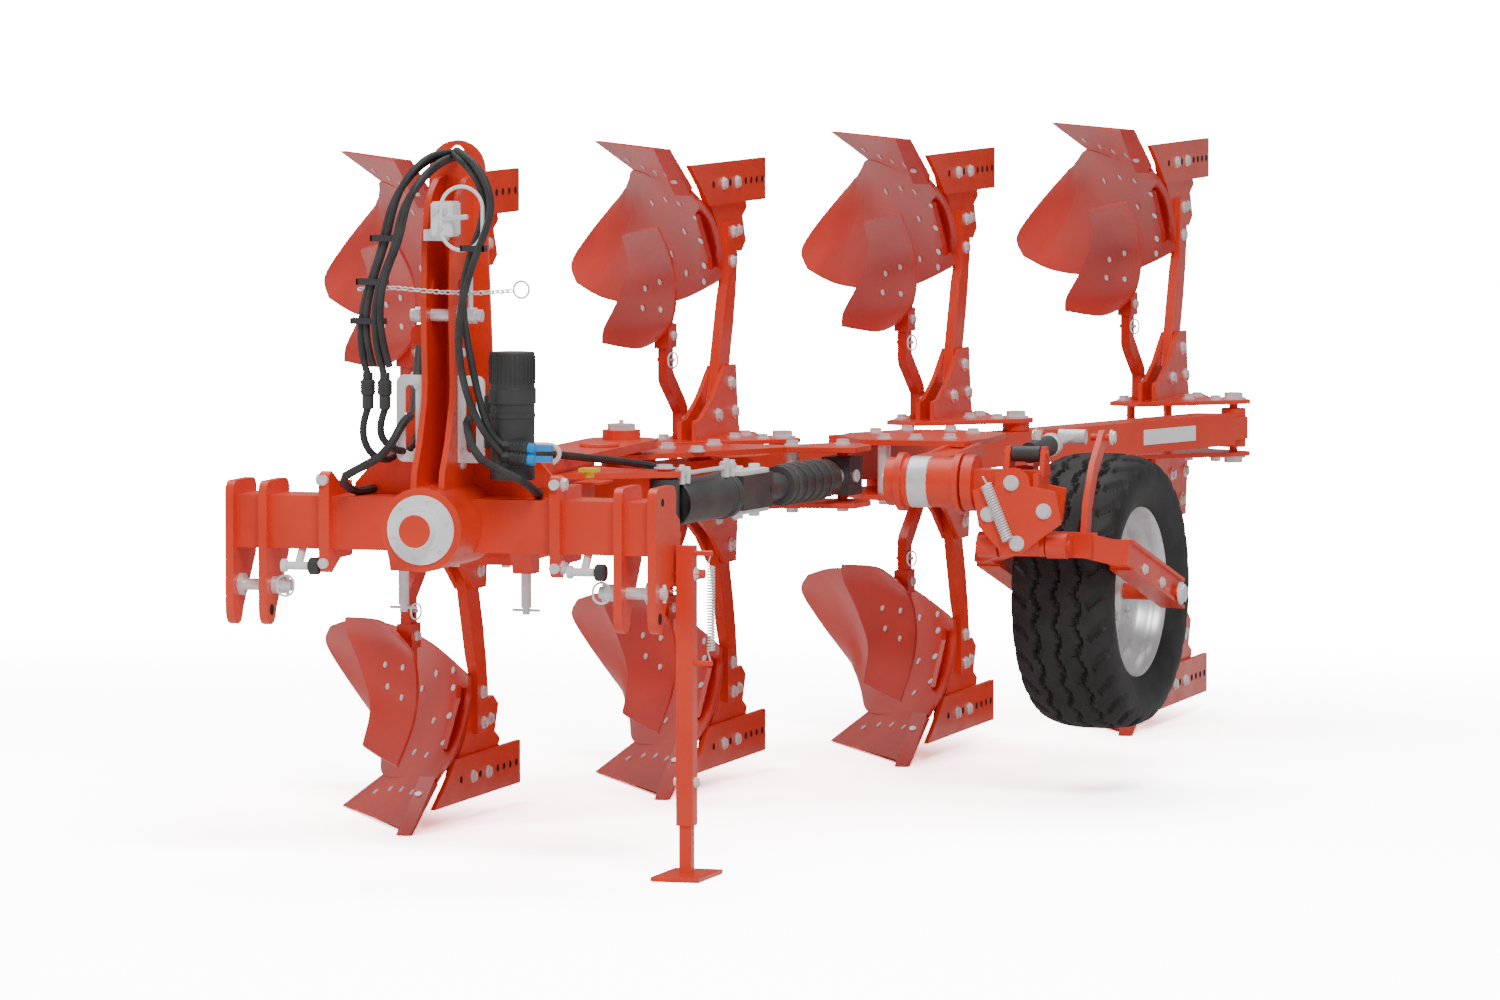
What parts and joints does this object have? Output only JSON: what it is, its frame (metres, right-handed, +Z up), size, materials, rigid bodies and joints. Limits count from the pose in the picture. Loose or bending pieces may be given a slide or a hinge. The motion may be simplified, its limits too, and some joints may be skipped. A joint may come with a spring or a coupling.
{
  "type": "moldboard plough",
  "caption": "Fully mounted reversible moldboard plough, orange-red, with a swinging main frame, mirrored plough bodies, skimmers and a swinging land wheel on a forked arm.",
  "frame": {"origin": "centre of the flat front face of the turnover bearing cover", "axes": "+Y rearward along the turnover axis, +Z up, +X to the machine's left"},
  "size_m": [2.2017, 5.0448, 1.69],
  "materials": {
    "paint": "gloss",
    "steel": "galvanised",
    "grey": "satin",
    "rubber": "matte"
  },
  "bodies": {
    "headstock_body": {"headstock": "paint", "bearing_cover": "steel", "mast": "paint", "top_link_pin": "steel", "link_pin_left": "steel", "link_pin_right": "steel", "hose_plate_left": "steel", "hose_plate_right": "steel", "document_canister": "grey", "stop_screw_left": "steel", "stop_screw_right": "steel", "hose_left": "grey", "hose_right": "grey"},
    "stand_body": {"stand_leg": "paint"},
    "stand_foot_body": {"stand_foot": "paint"},
    "turnover_cylinder_body": {"turnover_cylinder": "grey"},
    "turnover_rod_body": {"turnover_rod": "steel"},
    "turning_frame": {"turning_arm": "paint", "swing_hose": "grey"},
    "swing_cylinder_body": {"swing_cylinder": "grey"},
    "width_cylinder_body": {"width_cylinder": "grey"},
    "main_frame": {"front_frame": "paint", "main_beam": "paint", "wheel_support": "paint", "body_bracket_1": "paint", "body_bracket_2": "paint", "body_bracket_3": "paint", "body_bracket_4": "paint", "leg_upper_1": "paint", "moldboard_upper_1": "paint", "skimmer_upper_1": "paint", "leg_lower_1": "paint", "moldboard_lower_1": "paint", "skimmer_lower_1": "paint", "leg_upper_2": "paint", "moldboard_upper_2": "paint", "skimmer_upper_2": "paint", "leg_lower_2": "paint", "moldboard_lower_2": "paint", "skimmer_lower_2": "paint", "leg_upper_3": "paint", "moldboard_upper_3": "paint", "skimmer_upper_3": "paint", "leg_lower_3": "paint", "moldboard_lower_3": "paint", "skimmer_lower_3": "paint", "leg_upper_4": "paint", "moldboard_upper_4": "paint", "skimmer_upper_4": "paint", "leg_lower_4": "paint", "moldboard_lower_4": "paint", "skimmer_lower_4": "paint"},
    "wheel_head_body": {"wheel_head": "paint"},
    "wheel_fork_body": {"wheel_fork": "paint"},
    "lift_cylinder_body": {"lift_cylinder": "grey"},
    "lift_rod_body": {"lift_rod": "steel"},
    "wheel_body": {"tyre": "rubber", "wheel_rim": "steel"}
  },
  "joints": [
    {"name": "turnover", "type": "hinge", "parent": "headstock_body", "child": "turning_frame", "pos_m": [0, 0.2, 0], "axis": [0, 1, 0], "range_deg": [0, 180]},
    {"name": "turnover_cylinder_tilt", "type": "hinge", "parent": "headstock_body", "child": "turnover_cylinder_body", "pos_m": [-0.09, 0.381, 0.43], "axis": [0, -1, 0], "range_deg": [-1, 33]},
    {"name": "turnover_rod_slide", "type": "slide", "parent": "turnover_cylinder_body", "child": "turnover_rod_body", "axis": [-0.0926, 0, -0.9957], "range_m": [-0.152, 0.002]},
    {"name": "frame_swing", "type": "hinge", "parent": "turning_frame", "child": "main_frame", "pos_m": [0, 1.606, 0], "axis": [0, 0, 1], "range_deg": [0, 15]},
    {"name": "swing_cylinder_tilt", "type": "hinge", "parent": "turning_frame", "child": "swing_cylinder_body", "pos_m": [0.3, 0.976, 0], "axis": [0, 0, 1], "range_deg": [-0.5, 7.5]},
    {"name": "width_cylinder_slide", "type": "slide", "parent": "swing_cylinder_body", "child": "width_cylinder_body", "axis": [0.1297, 0.9915, 0], "range_m": [-0.002, 0.092]},
    {"name": "wheel_swing", "type": "hinge", "parent": "main_frame", "child": "wheel_head_body", "pos_m": [0.8, 1.876, 0], "axis": [1, 0, 0], "range_deg": [0, 62]},
    {"name": "wheel_lift", "type": "hinge", "parent": "wheel_head_body", "child": "wheel_fork_body", "pos_m": [0.955, 1.846, -0.148], "axis": [1, 0, 0], "range_deg": [-12, 14]},
    {"name": "lift_cylinder_tilt", "type": "hinge", "parent": "wheel_head_body", "child": "lift_cylinder_body", "pos_m": [0.955, 1.88, 0.074], "axis": [1, 0, 0], "range_deg": [-16, 19]},
    {"name": "lift_rod_slide", "type": "slide", "parent": "lift_cylinder_body", "child": "lift_rod_body", "axis": [0.1768, 0.9796, 0.0957], "range_m": [-0.052, 0.045]},
    {"name": "wheel_spin", "type": "hinge", "parent": "wheel_fork_body", "child": "wheel_body", "pos_m": [1.02, 2.376, -0.3], "axis": [0.9954, -0.0958, 0], "continuous": true},
    {"name": "stand_fold", "type": "hinge", "parent": "headstock_body", "child": "stand_body", "pos_m": [0.545, 0.336, -0.11], "axis": [1, 0, 0], "range_deg": [0, 170]},
    {"name": "stand_extend", "type": "slide", "parent": "stand_body", "child": "stand_foot_body", "axis": [0, 0, 1], "range_m": [0, 0.1]}
  ],
  "couplings": [
    {"joint": "turnover_cylinder_tilt", "follows": "turnover", "ratio": 0.18},
    {"joint": "turnover_rod_slide", "follows": "turnover", "m_per_rad": -0.04775},
    {"joint": "swing_cylinder_tilt", "follows": "frame_swing", "ratio": 0.46},
    {"joint": "width_cylinder_slide", "follows": "frame_swing", "m_per_rad": 0.344},
    {"joint": "lift_cylinder_tilt", "follows": "wheel_lift", "ratio": 1.25},
    {"joint": "lift_rod_slide", "follows": "wheel_lift", "m_per_rad": -0.19}
  ]
}
